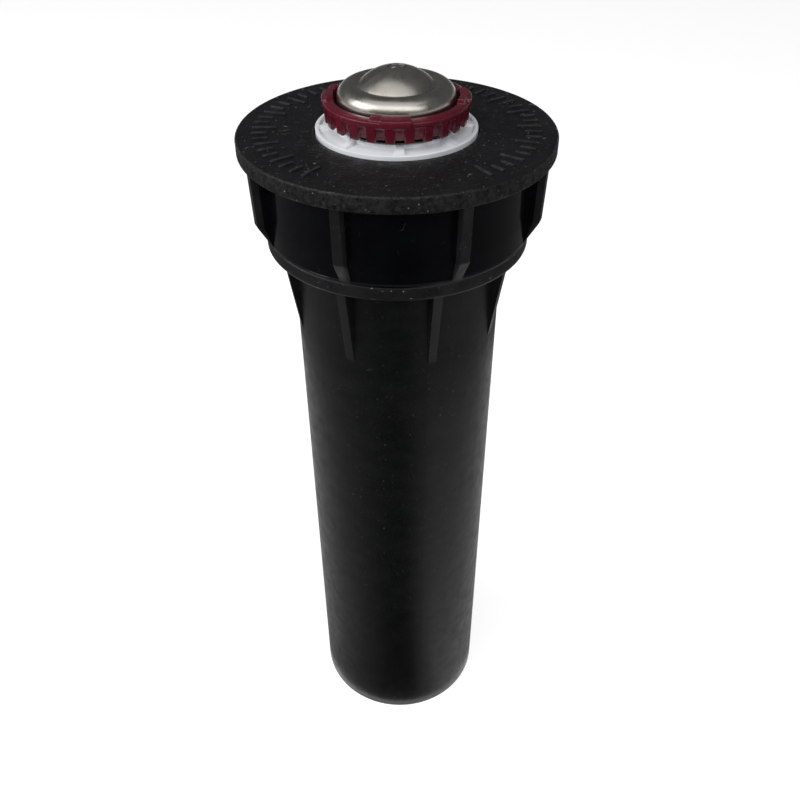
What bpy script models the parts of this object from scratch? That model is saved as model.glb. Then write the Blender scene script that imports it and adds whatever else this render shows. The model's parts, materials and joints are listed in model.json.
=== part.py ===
"""Pop-up irrigation sprinkler with a multi-stream rotary nozzle.

A buried casing with a threaded inlet holds a spring-loaded riser.  The riser carries a nozzle whose
red ring sets the watered arc and whose steel-capped turret pops up and spins on a damped shaft.
The origin is the centre of the casing's foot, +Z runs up the riser, and everything shares that axis.
"""

import math

import bmesh
import bpy
from mathutils import Matrix, Vector

MM = 0.001
SIDES = 32          # facets round a piece that shows
SIDES_HIDDEN = 24   # facets round a hidden one
SIDES_SMALL = 20    # facets round a small hidden one
GAP = 0.3 * MM      # clearance between neighbours

# ---------------------------------------------------------------- driving dimensions
HEIGHT = 150.0 * MM             # casing foot to the top of the cap's disc
CAP_RADIUS = 28.5 * MM
CAP_DISC = 3.0 * MM             # thickness of the disc that lies flush with the ground
TUBE_RADIUS_FOOT = 19.8 * MM
TUBE_RADIUS_TOP = 20.1 * MM
TUBE_BORE = 17.6 * MM
INLET_RADIUS = 9.4 * MM         # minor radius of a G 1/2 female thread, rounded up
RISER_RADIUS = 9.5 * MM
RISER_BORE = 7.4 * MM
SHAFT_RADIUS = 1.2 * MM
SHAFT_HOLE = SHAFT_RADIUS + GAP
RIB_COUNT = 8                   # gussets, grip ribs, guide ribs and retainer spokes
CAP_RIB_PHASE = math.radians(24.0)      # azimuth of the first grip rib under the disc
GUSSET_PHASE = math.radians(18.5)       # azimuth of the first gusset under the casing's flange
TAB_PHASE = math.radians(-5.0)          # azimuth of the arc ring's first raised tab
RETAINER_PHASE = math.radians(2.5)      # azimuth of the seal retainer's first spoke

# ---------------------------------------------------------------- heights up the casing
FLANGE_TOP = HEIGHT - 18.2 * MM
FLANGE_BOTTOM = FLANGE_TOP - 2.8 * MM
FLANGE_RADIUS = 24.7 * MM
SKIRT_RADIUS = 24.9 * MM        # at its foot; it widens slightly towards the disc
SKIRT_DRAFT = 0.3 * MM
GRIP_REACH = 27.8 * MM          # outer radius of a grip rib under the disc
GRIP_BEND = HEIGHT - 13.4 * MM  # height where a grip rib turns in towards the skirt
CAP_BORE = 12.9 * MM
RETAINER_POCKET = 14.7 * MM     # radius of the step in the cap that takes the white retainer
RETAINER_LIP = HEIGHT + 0.55 * MM       # the retainer's top at its outer edge
RETAINER_COLLAR = HEIGHT + 1.1 * MM     # and at its bore
SEAL_SEAT = HEIGHT - 4.8 * MM   # underside of the retainer, where the wiper seal is held
GUSSET_TIP = HEIGHT - 37.8 * MM
GUSSET_REACH = 22.6 * MM
NECK_RADIUS = 22.0 * MM
NECK_BORE = 19.8 * MM
NECK_TOP = HEIGHT - 6.0 * MM
DISC_UNDERSIDE = HEIGHT - CAP_DISC
BOSS_RADIUS = 12.4 * MM
BOSS_TOP = 18.0 * MM
GUIDE_RIB_RADIUS = 16.4 * MM    # inner edge of the ribs that key the ratchet ring
FLOOR_BOTTOM = 5.0 * MM
FLOOR_TOP = 7.5 * MM

# ---------------------------------------------------------------- heights along the riser
RISER_FOOT = BOSS_TOP + 0.7 * MM
RISER_FLANGE_RADIUS = 13.2 * MM
RISER_FLANGE_BOTTOM = RISER_FOOT + 7.7 * MM
RISER_FLANGE_TOP = RISER_FLANGE_BOTTOM + 2.1 * MM
THREAD_SHOULDER = HEIGHT - 11.0 * MM
THREAD_RADIUS = 8.6 * MM
RISER_TOP = HEIGHT - 3.4 * MM
SEAT_BOTTOM = HEIGHT - 9.6 * MM     # spring seat's lower face
TOOTH_COUNT = 16
TOOTH_HEIGHT = 0.45 * MM
FILTER_RADIUS = 6.7 * MM
FILTER_WALL = 0.8 * MM

# ---------------------------------------------------------------- heights in the nozzle
WEB_BOTTOM = HEIGHT - 2.0 * MM
WEB_TOP = HEIGHT - 0.6 * MM
RING_RADIUS = 12.8 * MM
RING_WALL = 12.1 * MM
RING_BORE = 10.9 * MM
RING_TOP = HEIGHT + 5.6 * MM
RING_FLOOR = HEIGHT + 2.7 * MM
RING_RIB_COUNT = 24
TAB_HEIGHT = 0.7 * MM
PLATE_RADIUS = 7.9 * MM         # both pattern plates
PLATE_BORE = 6.4 * MM           # opening in the nozzle's web and the red ring's floor
SLOT_INNER = 4.3 * MM
SLOT_OUTER = 5.6 * MM
SLOT_SWEEP = math.radians(210.0)
DOME_RADIUS = 10.4 * MM
DOME_RIM = HEIGHT + 4.9 * MM
DOME_APEX = HEIGHT + 10.75 * MM
DOME_SHEET = 0.45 * MM
DOME_ROLL = 2.4 * MM            # radius of the dome's rolled shoulder
DOME_ROLL_RISE = 0.7 * MM       # height of that roll's centre above the rim
DOME_ROLL_END = 117.0           # degrees the roll turns through, past its crest and down to the valley
BUMP_RADIUS = 9.1 * MM          # spherical radius of the dome's raised centre
BUMP_FOOT = 6.8 * MM            # radius at which the raised centre starts
SCREW_HOLE = 1.75 * MM
CAGE_BOTTOM = HEIGHT - 12.0 * MM
CAGE_FLOOR = CAGE_BOTTOM + 1.4 * MM
CAGE_RADIUS = 5.5 * MM
CHAMBER_RADIUS = 4.9 * MM       # damper chamber in the turret
CHAMBER_FLOOR = HEIGHT + 4.9 * MM
CHAMBER_TOP = HEIGHT + 7.9 * MM
STREAM_COUNT = 12
RETAINER_BOTTOM = HEIGHT - 25.4 * MM
FILTER_BOTTOM = HEIGHT - 32.0 * MM

# ---------------------------------------------------------------- materials: colour, roughness, metallic
FINISHES = {
    "black_abs": ((0.012, 0.013, 0.014), 0.42, 0.0),
    "black_gloss": ((0.008, 0.009, 0.010), 0.18, 0.0),
    "white_plastic": ((0.78, 0.80, 0.82), 0.45, 0.0),
    "red_plastic": ((0.16, 0.008, 0.020), 0.38, 0.0),
    "stainless": ((0.42, 0.40, 0.37), 0.28, 1.0),
    "spring_steel": ((0.50, 0.50, 0.50), 0.30, 1.0),
    "grey_acetal": ((0.25, 0.26, 0.27), 0.50, 0.0),
    "black_rubber": ((0.015, 0.015, 0.015), 0.80, 0.0),
}


def clear_scene():
    for obj in list(bpy.data.objects):
        bpy.data.objects.remove(obj)


def make_materials():
    made = {}
    for name, (colour, roughness, metallic) in FINISHES.items():
        material = bpy.data.materials.new(name)
        material.use_nodes = True
        shader = material.node_tree.nodes["Principled BSDF"]
        shader.inputs["Base Color"].default_value = (*colour, 1.0)
        shader.inputs["Roughness"].default_value = roughness
        shader.inputs["Metallic"].default_value = metallic
        made[name] = material
    return made


def add_object(name, data, material=None):
    """Links a new object; with no material it is a cutter or a helper, and stays out of the build."""
    obj = bpy.data.objects.new(name, data)
    bpy.context.scene.collection.objects.link(obj)
    if material is None:
        obj.hide_render = True
        obj.display_type = "WIRE"
    else:
        data.materials.append(material)
    return obj


def finish_mesh(name, bm):
    """Turns a bmesh into a mesh whose faces point out, shaded smooth but for its corners."""
    bmesh.ops.remove_doubles(bm, verts=bm.verts, dist=1e-7)
    bmesh.ops.recalc_face_normals(bm, faces=bm.faces)
    mesh = bpy.data.meshes.new(name)
    bm.to_mesh(mesh)
    bm.free()
    mesh.shade_smooth()
    mesh.set_sharp_from_angle(angle=math.radians(30.0))
    return mesh


def turned(name, outline, material=None, sides=SIDES):
    """A piece turned about the Z axis.  The outline is a loop of (radius, height) points, or, where it
    starts and ends on the axis, an open line."""
    bm = bmesh.new()
    verts = [bm.verts.new((radius, 0.0, height)) for radius, height in outline]
    edges = [bm.edges.new(pair) for pair in zip(verts, verts[1:])]
    if outline[0][0] > 0.0:
        edges.append(bm.edges.new((verts[-1], verts[0])))
    bmesh.ops.spin(
        bm,
        geom=verts + edges,
        cent=(0.0, 0.0, 0.0),
        axis=(0.0, 0.0, 1.0),
        angle=math.tau,
        steps=sides,
        use_merge=True,
    )
    return add_object(name, finish_mesh(name, bm), material)


def add_fin(bm, outline, width, azimuth):
    """A flat plate of that (radius, height) outline, standing radially at an azimuth."""
    verts = [bm.verts.new((radius, -width / 2, height)) for radius, height in outline]
    face = bm.faces.new(verts)
    grown = bmesh.ops.extrude_face_region(bm, geom=[face])["geom"]
    moved = [item for item in grown if isinstance(item, bmesh.types.BMVert)]
    bmesh.ops.translate(bm, verts=moved, vec=(0.0, width, 0.0))
    bmesh.ops.rotate(bm, verts=verts + moved, cent=(0, 0, 0), matrix=Matrix.Rotation(azimuth, 3, "Z"))


def fins(name, outline, width, count, phase=0.0):
    """A ring of equal radial plates, as one helper object."""
    bm = bmesh.new()
    for index in range(count):
        add_fin(bm, outline, width, phase + math.tau * index / count)
    return add_object(name, finish_mesh(name, bm))


def sectors(name, inner, outer, low, high, starts, sweep, steps=12):
    """Pieces of a ring between two radii and two heights, each from a start azimuth over a sweep."""
    bm = bmesh.new()
    for start in starts:
        corners = ((inner, low), (outer, low), (outer, high), (inner, high))
        turn = Matrix.Rotation(start, 4, "Z")
        verts = [bm.verts.new(turn @ Vector((radius, 0.0, height))) for radius, height in corners]
        face = bm.faces.new(verts)
        bmesh.ops.spin(
            bm,
            geom=[face, *face.edges, *verts],
            cent=(0.0, 0.0, 0.0),
            axis=(0.0, 0.0, 1.0),
            angle=sweep,
            steps=steps,
        )
    return add_object(name, finish_mesh(name, bm))


def boolean(obj, helper, operation):
    modifier = obj.modifiers.new(f"{operation.lower()}_{helper.name}", "BOOLEAN")
    modifier.operation = operation
    modifier.object = helper


def join(obj, helper):
    boolean(obj, helper, "UNION")


def cut(obj, helper):
    boolean(obj, helper, "DIFFERENCE")


def arc(centre, radius, start, end, steps):
    """Points of an arc in the (radius, height) plane, angles in degrees from the outward direction."""
    points = []
    for step in range(steps + 1):
        angle = math.radians(start + (end - start) * step / steps)
        points.append((centre[0] + radius * math.cos(angle), centre[1] + radius * math.sin(angle)))
    return points


def coil(name, material, low, high, radius, wire, turns, facets=1, steps_per_turn=12):
    """A compression spring whose first and last turns close up, as one poly curve with filled caps."""
    curve = bpy.data.curves.new(name, "CURVE")
    curve.dimensions = "3D"
    curve.bevel_depth = wire / 2
    curve.bevel_resolution = facets
    curve.use_fill_caps = True
    spline = curve.splines.new("POLY")
    count = turns * steps_per_turn + 1
    spline.points.add(count - 1)
    closed_pitch = wire * 1.5
    bottom, top = low + wire / 2, high - wire / 2
    open_pitch = (top - bottom - 2 * closed_pitch) / (turns - 2)
    for index in range(count):
        turn = index / steps_per_turn
        closing = min(turn, 1.0) + max(turn - (turns - 1), 0.0)
        opened = min(max(turn - 1.0, 0.0), turns - 2.0)
        height = bottom + closing * closed_pitch + opened * open_pitch
        angle = math.tau * turn
        spline.points[index].co = (radius * math.cos(angle), radius * math.sin(angle), height, 1.0)
    return add_object(name, curve, material)


# ================================================================ casing and cap
def make_casing(finish):
    """The buried tube: threaded inlet boss, floor, guide ribs, flange, neck and gussets."""
    chamfer = 1.2 * MM
    casing = turned(
        "body_casing",
        [
            (TUBE_RADIUS_FOOT, 0.0),
            (TUBE_RADIUS_TOP, FLANGE_BOTTOM),
            (FLANGE_RADIUS, FLANGE_BOTTOM),
            (FLANGE_RADIUS, FLANGE_TOP),
            (NECK_RADIUS, FLANGE_TOP),
            (NECK_RADIUS, NECK_TOP),
            (NECK_BORE, NECK_TOP),
            (NECK_BORE, FLANGE_TOP + 1.2 * MM),
            (TUBE_BORE, FLANGE_TOP - 0.8 * MM),
            (TUBE_BORE, FLOOR_TOP),
            (BOSS_RADIUS, FLOOR_TOP),
            (BOSS_RADIUS, BOSS_TOP),
            (INLET_RADIUS, BOSS_TOP),
            (INLET_RADIUS, chamfer),
            (INLET_RADIUS + chamfer, 0.0),
            (BOSS_RADIUS, 0.0),
            (BOSS_RADIUS, FLOOR_BOTTOM),
            (TUBE_BORE, FLOOR_BOTTOM),
            (TUBE_BORE, 0.0),
        ],
        finish["black_abs"],
    )
    root = 19.0 * MM
    gussets = [
        (root, GUSSET_TIP),
        (TUBE_RADIUS_TOP - 0.1 * MM, GUSSET_TIP),
        (GUSSET_REACH, FLANGE_BOTTOM + 0.5 * MM),
        (root, FLANGE_BOTTOM + 0.5 * MM),
    ]
    join(casing, fins("casing_gussets", gussets, 1.9 * MM, RIB_COUNT, GUSSET_PHASE))
    web_foot = 0.8 * MM
    web_top = FLOOR_BOTTOM + 0.6 * MM
    foot_webs = [
        (BOSS_RADIUS - 0.5 * MM, web_foot),
        (TUBE_BORE + 0.6 * MM, web_foot),
        (TUBE_BORE + 0.6 * MM, web_top),
        (BOSS_RADIUS - 0.5 * MM, web_top),
    ]
    join(casing, fins("casing_foot_webs", foot_webs, 1.6 * MM, RIB_COUNT, GUSSET_PHASE))
    guide_root = TUBE_BORE + 0.8 * MM
    guide_foot = BOSS_TOP + 1.0 * MM
    guide_top = FLANGE_TOP - 2.0 * MM
    guide_ribs = [
        (GUIDE_RIB_RADIUS, guide_foot),
        (guide_root, guide_foot),
        (guide_root, guide_top),
        (GUIDE_RIB_RADIUS, guide_top),
    ]
    join(casing, fins("casing_guide_ribs", guide_ribs, 1.6 * MM, RIB_COUNT))


def make_cap(finish):
    """The screwed cap: a ground-level disc, a skirt over the casing's neck and grip ribs."""
    skirt_foot = FLANGE_TOP + GAP
    skirt_bore = NECK_RADIUS + 0.4 * MM
    edge = 0.3 * MM
    pocket_floor = HEIGHT - 1.2 * MM
    gasket_seat = CAP_BORE + 1.6 * MM
    cap = turned(
        "body_cap",
        [
            (skirt_bore, skirt_foot),
            (SKIRT_RADIUS, skirt_foot),
            (SKIRT_RADIUS + SKIRT_DRAFT, DISC_UNDERSIDE),
            (CAP_RADIUS - edge, DISC_UNDERSIDE),
            (CAP_RADIUS, DISC_UNDERSIDE + edge),
            (CAP_RADIUS, HEIGHT - edge),
            (CAP_RADIUS - edge, HEIGHT),
            (RETAINER_POCKET, HEIGHT),
            (RETAINER_POCKET, pocket_floor),
            (CAP_BORE, pocket_floor),
            (CAP_BORE, SEAL_SEAT),
            (gasket_seat, SEAL_SEAT),
            (gasket_seat, DISC_UNDERSIDE),
            (skirt_bore, DISC_UNDERSIDE),
        ],
        finish["black_gloss"],
    )
    root = 23.6 * MM
    rib_foot = skirt_foot + 0.4 * MM
    grip = [
        (root, rib_foot),
        (SKIRT_RADIUS - 0.1 * MM, rib_foot),
        (GRIP_REACH - 0.4 * MM, GRIP_BEND),
        (GRIP_REACH, DISC_UNDERSIDE + 0.5 * MM),
        (root, DISC_UNDERSIDE + 0.5 * MM),
    ]
    join(cap, fins("cap_grip_ribs", grip, 2.0 * MM, RIB_COUNT, CAP_RIB_PHASE))


def make_seal_parts(finish):
    """The white retainer that shows round the nozzle, the wiper seal under it and the spring's seat."""
    bore = RISER_RADIUS + 0.35 * MM
    sleeve = 12.6 * MM
    flange = 14.4 * MM
    flange_seat = HEIGHT - 0.9 * MM
    well = RETAINER_LIP - 0.45 * MM
    retainer = turned(
        "seal_retainer",
        [
            (bore, SEAL_SEAT),
            (sleeve, SEAL_SEAT),
            (sleeve, flange_seat),
            (flange, flange_seat),
            (flange, RETAINER_LIP),
            (flange - 0.8 * MM, RETAINER_LIP),
            (flange - 1.0 * MM, well),
            (bore + 1.0 * MM, well + 0.3 * MM),
            (bore + 0.9 * MM, RETAINER_COLLAR),
            (bore, RETAINER_COLLAR),
        ],
        finish["white_plastic"],
    )
    spokes = [
        (bore + 0.5 * MM, well - 0.4 * MM),
        (flange - 0.5 * MM, well - 0.4 * MM),
        (flange - 0.5 * MM, RETAINER_LIP - 0.05 * MM),
        (bore + 0.5 * MM, RETAINER_COLLAR - 0.05 * MM),
    ]
    join(retainer, fins("retainer_spokes", spokes, 1.3 * MM, RIB_COUNT, RETAINER_PHASE))

    lip_bore = RISER_RADIUS + GAP
    lip_foot = HEIGHT - 7.8 * MM
    seal_bottom = HEIGHT - 6.7 * MM
    seal_top = SEAL_SEAT - GAP
    gasket_bottom = NECK_TOP + GAP
    gasket_top = DISC_UNDERSIDE - GAP
    gasket_inner, gasket_outer = 15.0 * MM, 21.6 * MM
    turned(
        "wiper_seal",
        [
            (lip_bore, lip_foot),
            (lip_bore + 1.0 * MM, lip_foot),
            (lip_bore + 1.8 * MM, seal_bottom),
            (gasket_inner + 1.6 * MM, seal_bottom),
            (gasket_inner + 1.6 * MM, gasket_bottom),
            (gasket_outer, gasket_bottom),
            (gasket_outer, gasket_top),
            (gasket_inner, gasket_top),
            (gasket_inner, seal_top),
            (lip_bore, seal_top),
        ],
        finish["black_rubber"],
        SIDES_HIDDEN,
    )
    seat_inner, seat_outer = 10.3 * MM, 19.3 * MM
    seat_top = SEAT_BOTTOM + 2.5 * MM
    shelf = SEAT_BOTTOM + 1.4 * MM
    collar_inner, collar_outer = 13.0 * MM, 14.2 * MM
    collar_foot = SEAT_BOTTOM - 1.8 * MM
    turned(
        "spring_seat",
        [
            (seat_inner, SEAT_BOTTOM),
            (collar_inner, SEAT_BOTTOM),
            (collar_inner, collar_foot),
            (collar_outer, collar_foot),
            (collar_outer, SEAT_BOTTOM),
            (seat_outer, SEAT_BOTTOM),
            (seat_outer, seat_top),
            (12.2 * MM, seat_top),
            (12.2 * MM, shelf),
            (seat_inner, shelf),
        ],
        finish["grey_acetal"],
        SIDES_HIDDEN,
    )
    coil(
        "retract_spring",
        finish["spring_steel"],
        low=RISER_FLANGE_TOP + GAP,
        high=SEAT_BOTTOM - GAP,
        radius=11.8 * MM,
        wire=1.2 * MM,
        turns=11,
    )


# ================================================================ riser
def tooth_ring(name, low, high):
    """A crown of square ratchet teeth between two heights."""
    inner, outer = 10.7 * MM, 12.7 * MM
    outline = [(inner, low), (outer, low), (outer, high), (inner, high)]
    return fins(name, outline, 0.8 * MM, TOOTH_COUNT)


def make_riser(finish):
    """The pop-up stem, the keyed ratchet ring that it turns in, and the filter that hangs in it."""
    root = 0.5 * MM
    foot_lip = 10.4 * MM
    lip_top = RISER_FOOT + 1.6 * MM
    riser = turned(
        "riser_stem",
        [
            (RISER_BORE, RISER_FOOT),
            (foot_lip, RISER_FOOT),
            (foot_lip, lip_top),
            (RISER_RADIUS, lip_top),
            (RISER_RADIUS, RISER_FLANGE_BOTTOM),
            (RISER_FLANGE_RADIUS, RISER_FLANGE_BOTTOM),
            (RISER_FLANGE_RADIUS, RISER_FLANGE_TOP),
            (RISER_RADIUS, RISER_FLANGE_TOP),
            (RISER_RADIUS, THREAD_SHOULDER),
            (THREAD_RADIUS, THREAD_SHOULDER),
            (THREAD_RADIUS, RISER_TOP),
            (RISER_BORE, RISER_TOP),
        ],
        finish["black_abs"],
    )
    join(riser, tooth_ring("riser_teeth", RISER_FLANGE_BOTTOM - TOOTH_HEIGHT, RISER_FLANGE_BOTTOM + root))

    ring_top = RISER_FLANGE_BOTTOM - 2 * TOOTH_HEIGHT - GAP
    ring_bottom = lip_top + GAP
    ring_bore = RISER_RADIUS + 0.4 * MM
    ring_radius = TUBE_BORE - 0.4 * MM
    ring = turned(
        "ratchet_ring",
        [
            (ring_bore, ring_bottom),
            (ring_radius, ring_bottom),
            (ring_radius, ring_top),
            (ring_bore, ring_top),
        ],
        finish["grey_acetal"],
        SIDES_HIDDEN,
    )
    join(ring, tooth_ring("ring_teeth", ring_top - root, ring_top + TOOTH_HEIGHT))
    key_floor = GUIDE_RIB_RADIUS - 0.5 * MM
    beyond = 1.0 * MM
    keyway = [
        (key_floor, ring_bottom - beyond),
        (ring_radius + beyond, ring_bottom - beyond),
        (ring_radius + beyond, ring_top + beyond),
        (key_floor, ring_top + beyond),
    ]
    cut(ring, fins("ring_keyways", keyway, 2.4 * MM, RIB_COUNT))

    flange_bottom = RISER_TOP + GAP
    flange_top = WEB_BOTTOM - GAP
    filter_flange = 8.5 * MM
    filter_bore = FILTER_RADIUS - FILTER_WALL
    basket = turned(
        "filter_basket",
        [
            (0.0, FILTER_BOTTOM),
            (FILTER_RADIUS, FILTER_BOTTOM),
            (FILTER_RADIUS, flange_bottom),
            (filter_flange, flange_bottom),
            (filter_flange, flange_top),
            (filter_bore, flange_top),
            (filter_bore, FILTER_BOTTOM + 0.9 * MM),
            (0.0, FILTER_BOTTOM + 0.9 * MM),
        ],
        finish["grey_acetal"],
        SIDES_SMALL,
    )
    window_low = FILTER_BOTTOM + 3.0 * MM
    window_high = flange_bottom - 4.0 * MM
    middle = (window_low + window_high) / 2
    half_band = 0.6 * MM
    inner, outer = filter_bore - 0.9 * MM, FILTER_RADIUS + 0.9 * MM
    for row, (low, high) in enumerate(((window_low, middle - half_band), (middle + half_band, window_high))):
        window = [(inner, low), (outer, low), (outer, high), (inner, high)]
        cut(basket, fins(f"filter_windows_{row}", window, 2.2 * MM, 6))


# ================================================================ nozzle
def make_nozzle_base(finish):
    """The nozzle's threaded body, and the fixed parts inside it."""
    sleeve_foot = THREAD_SHOULDER + 0.4 * MM
    thread_bore = THREAD_RADIUS + 0.35 * MM
    cup_bore = PLATE_RADIUS + GAP
    flange_radius = 10.4 * MM
    flange_top = RING_FLOOR - GAP
    turned(
        "nozzle_base",
        [
            (thread_bore, sleeve_foot),
            (RISER_RADIUS, sleeve_foot),
            (RISER_RADIUS, HEIGHT + 1.5 * MM),
            (flange_radius, HEIGHT + 1.7 * MM),
            (flange_radius, flange_top),
            (cup_bore, flange_top),
            (cup_bore, WEB_TOP),
            (PLATE_BORE, WEB_TOP),
            (PLATE_BORE, WEB_BOTTOM),
            (thread_bore, WEB_BOTTOM),
        ],
        finish["black_abs"],
    )
    seat_bottom = WEB_TOP + GAP
    seat_top = seat_bottom + 1.2 * MM
    seat = turned(
        "arc_seat",
        [
            (SHAFT_HOLE, seat_bottom),
            (PLATE_RADIUS, seat_bottom),
            (PLATE_RADIUS, seat_top),
            (SHAFT_HOLE, seat_top),
        ],
        finish["grey_acetal"],
        SIDES_SMALL,
    )
    cut(seat, arc_slot("seat_slot", seat_bottom, seat_top, 0.0))

    cage_bore = CAGE_RADIUS - 0.8 * MM
    cage_collar = PLATE_BORE - GAP
    cage_ring = HEIGHT - 1.8 * MM
    cage = turned(
        "throttle_cage",
        [
            (SHAFT_HOLE, CAGE_BOTTOM),
            (CAGE_RADIUS, CAGE_BOTTOM),
            (CAGE_RADIUS, cage_ring),
            (cage_collar, cage_ring),
            (cage_collar, WEB_TOP),
            (cage_bore, WEB_TOP),
            (cage_bore, CAGE_FLOOR),
            (SHAFT_HOLE, CAGE_FLOOR),
        ],
        finish["black_abs"],
        SIDES_SMALL,
    )
    window_low = CAGE_FLOOR + 0.2 * MM
    window_high = cage_ring - 0.3 * MM
    inner, outer = cage_bore - 0.8 * MM, CAGE_RADIUS + 1.0 * MM
    window = [(inner, window_low), (outer, window_low), (outer, window_high), (inner, window_high)]
    cut(cage, fins("cage_windows", window, 4.4 * MM, 4))
    starts = [math.radians(90.0 * index + 25.0) for index in range(4)]
    low, high = CAGE_BOTTOM - 1.0 * MM, CAGE_FLOOR + 1.0 * MM
    cut(cage, sectors("cage_ports", 3.3 * MM, 4.3 * MM, low, high, starts, math.radians(40.0), 5))

    coil(
        "turret_spring",
        finish["spring_steel"],
        low=RETAINER_BOTTOM + 1.4 * MM + GAP,
        high=CAGE_BOTTOM - GAP,
        radius=2.6 * MM,
        wire=0.5 * MM,
        turns=6,
        facets=0,
        steps_per_turn=10,
    )


def arc_slot(name, low, high, start):
    """The slot that both pattern plates share; where the two overlap, water passes."""
    beyond = 1.0 * MM
    return sectors(name, SLOT_INNER, SLOT_OUTER, low - beyond, high + beyond, [start], SLOT_SWEEP, 28)


def make_arc_adjuster(finish):
    """The red ring that sets the watered arc, and the pattern plate that turns with it."""
    valve_bottom = WEB_TOP + 1.8 * MM
    valve_top = valve_bottom + 1.0 * MM
    valve = turned(
        "arc_valve",
        [
            (SHAFT_HOLE, valve_bottom),
            (PLATE_RADIUS, valve_bottom),
            (PLATE_RADIUS, RING_FLOOR - GAP),
            (PLATE_RADIUS - 1.0 * MM, RING_FLOOR - GAP),
            (PLATE_RADIUS - 1.0 * MM, valve_top),
            (SHAFT_HOLE, valve_top),
        ],
        finish["grey_acetal"],
        SIDES_SMALL,
    )
    cut(valve, arc_slot("valve_slot", valve_bottom, valve_top, math.radians(120.0)))

    wall_foot = RING_FLOOR + 0.1 * MM
    rib_foot = HEIGHT + 1.75 * MM
    rib_top = RING_TOP - 1.0 * MM
    floor_top = RING_FLOOR + 0.7 * MM
    ring = turned(
        "arc_ring",
        [
            (PLATE_BORE, RING_FLOOR),
            (RING_WALL - 0.3 * MM, RING_FLOOR),
            (RING_WALL, wall_foot),
            (RING_WALL, rib_top),
            (RING_RADIUS, rib_top + 0.1 * MM),
            (RING_RADIUS, RING_TOP - 0.2 * MM),
            (RING_RADIUS - 0.2 * MM, RING_TOP),
            (RING_BORE, RING_TOP),
            (RING_BORE, floor_top),
            (PLATE_BORE, floor_top),
        ],
        finish["red_plastic"],
    )
    ribs = [
        (RING_WALL - 0.6 * MM, RING_FLOOR + 0.3 * MM),
        (RING_WALL - 0.1 * MM, rib_foot),
        (RING_RADIUS - 0.3 * MM, rib_foot),
        (RING_RADIUS - 0.05 * MM, rib_top + 0.3 * MM),
        (RING_WALL - 0.6 * MM, rib_top + 0.3 * MM),
    ]
    join(ring, fins("ring_ribs", ribs, 1.7 * MM, RING_RIB_COUNT, TAB_PHASE))
    tab_sweep = math.radians(32.0)
    starts = [TAB_PHASE - tab_sweep / 2 + math.radians(90.0 * index) for index in range(4)]
    tabs = sectors(
        "ring_tabs",
        RING_BORE + 0.15 * MM,
        RING_RADIUS - 0.15 * MM,
        RING_TOP - 0.5 * MM,
        RING_TOP + TAB_HEIGHT,
        starts,
        tab_sweep,
        5,
    )
    join(ring, tabs)


def make_shaft_parts(finish):
    """The shaft that carries the turret, with its spring retainer, clip, damper rotor and throttle nut."""
    shaft_foot = HEIGHT - 27.2 * MM
    head_bottom = HEIGHT + 9.7 * MM
    head_top = HEIGHT + 10.5 * MM
    shaft = turned(
        "turret_shaft",
        [
            (0.0, shaft_foot),
            (SHAFT_RADIUS, shaft_foot),
            (SHAFT_RADIUS, head_bottom),
            (SCREW_HOLE - GAP, head_bottom),
            (SCREW_HOLE - GAP, head_top),
            (0.0, head_top),
        ],
        finish["spring_steel"],
        SIDES_SMALL,
    )
    slot_reach = 2.0 * MM
    slot_floor, slot_mouth = head_top - 0.45 * MM, head_top + 1.0 * MM
    slot = [
        (-slot_reach, slot_floor),
        (slot_reach, slot_floor),
        (slot_reach, slot_mouth),
        (-slot_reach, slot_mouth),
    ]
    cut(shaft, fins("driver_slot", slot, 0.6 * MM, 1))

    def collar(name, material, low, height, outer, sides=SIDES_SMALL):
        outline = [(SHAFT_HOLE, low), (outer, low), (outer, low + height), (SHAFT_HOLE, low + height)]
        return turned(name, outline, material, sides)

    collar("spring_retainer", finish["grey_acetal"], RETAINER_BOTTOM, 1.4 * MM, 3.8 * MM)
    clip_bottom = RETAINER_BOTTOM - 0.9 * MM
    clip = collar("shaft_clip", finish["spring_steel"], clip_bottom, 0.6 * MM, 2.9 * MM)
    mouth_low, mouth_high = clip_bottom - 0.5 * MM, clip_bottom + 1.0 * MM
    mouth_sweep = math.radians(70.0)
    starts = [-mouth_sweep / 2]
    cut(clip, sectors("clip_mouth", 0.5 * MM, 4.0 * MM, mouth_low, mouth_high, starts, mouth_sweep, 4))
    rotor_bottom = CHAMBER_FLOOR + 0.6 * MM
    rotor_height = 2.0 * MM
    rotor_radius = CHAMBER_RADIUS - 0.6 * MM
    rotor = collar("damper_rotor", finish["grey_acetal"], rotor_bottom, rotor_height, rotor_radius)
    groove_low, groove_high = rotor_bottom - 0.5 * MM, rotor_bottom + rotor_height + 0.5 * MM
    groove_floor, groove_mouth = rotor_radius - 0.4 * MM, rotor_radius + 0.7 * MM
    groove = [
        (groove_floor, groove_low),
        (groove_mouth, groove_low),
        (groove_mouth, groove_high),
        (groove_floor, groove_high),
    ]
    cut(rotor, fins("rotor_grooves", groove, 0.7 * MM, 8))

    nut_bottom = CAGE_FLOOR + 0.3 * MM
    nut = collar("throttle_nut", finish["grey_acetal"], nut_bottom, 2.0 * MM, 4.2 * MM)
    ear_root, ear_tip = 3.6 * MM, 5.3 * MM
    ear_bottom, ear_top = nut_bottom + 0.3 * MM, nut_bottom + 1.5 * MM
    ear = [(ear_root, ear_bottom), (ear_tip, ear_bottom), (ear_tip, ear_top), (ear_root, ear_top)]
    join(nut, fins("nut_ears", ear, 2.0 * MM, 4))


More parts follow.
